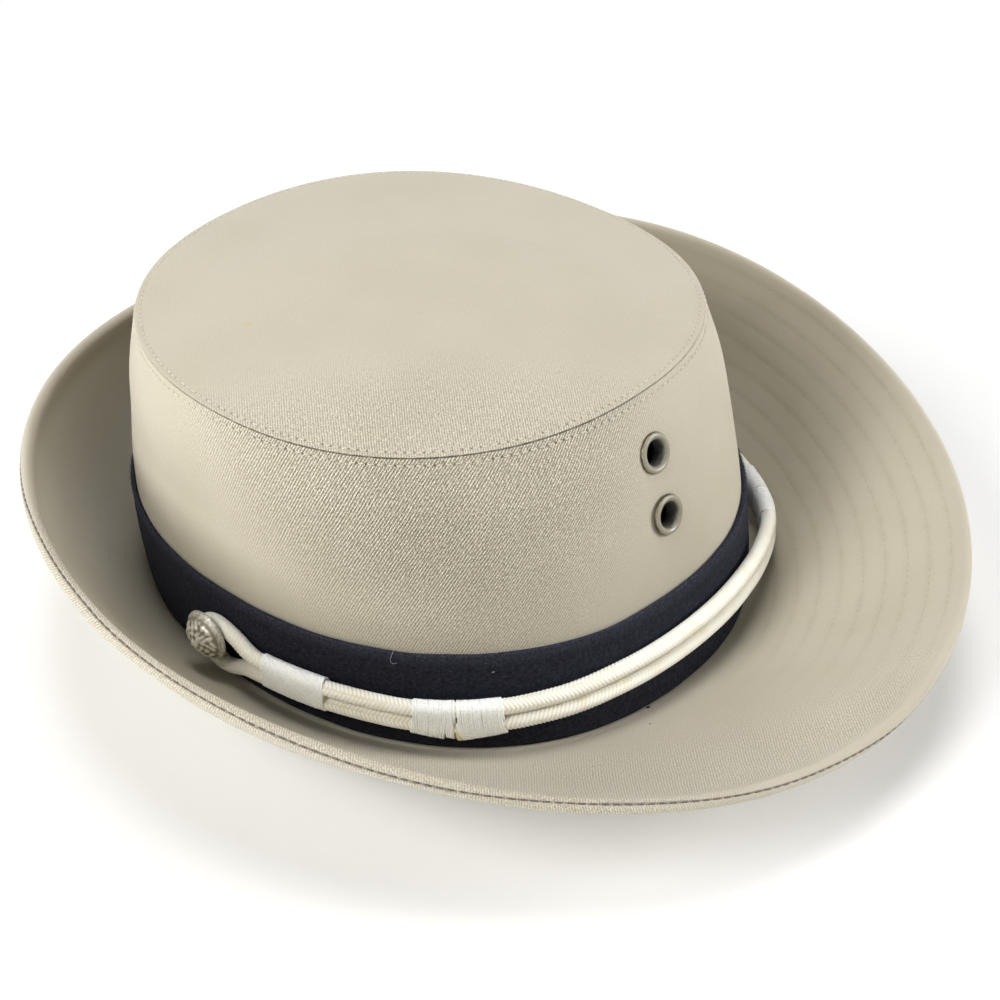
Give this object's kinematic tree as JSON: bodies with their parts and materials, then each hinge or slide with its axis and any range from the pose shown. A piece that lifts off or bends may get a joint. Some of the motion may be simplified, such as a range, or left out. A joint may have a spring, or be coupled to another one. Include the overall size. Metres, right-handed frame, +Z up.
{
  "type": "police hat",
  "caption": "Round-crowned khaki cloth hat with an upturned stitched brim, dark felt band, doubled cream cord looped over side buttons, and front badge eyelets.",
  "frame": {"origin": "under the middle of the hat's outline, on the surface that the lower edge of its crown stands on", "axes": "-Y out of the hat's front, where the eyelets are; +X to its wearer's left; +Z up"},
  "size_m": [0.292, 0.3083, 0.1071],
  "materials": {
    "drill": "khaki cotton twill",
    "felt": "near-black navy felt",
    "braid": "cream plaited cord",
    "thread": "white wound thread",
    "silver": "tarnished silver",
    "enamel": "khaki enamel"
  },
  "bodies": {
    "root": {"crown_side": "drill", "crown_tip": "drill", "brim": "drill", "hat_band": "felt", "cord": "braid", "keeper_front_left": "thread", "keeper_rear_left": "thread", "whipping_left": "thread", "keeper_front_right": "thread", "keeper_rear_right": "thread", "whipping_right": "thread", "button_left": "silver", "button_right": "silver", "eyelet_upper": "enamel", "eyelet_lower": "enamel"}
  },
  "joints": []
}
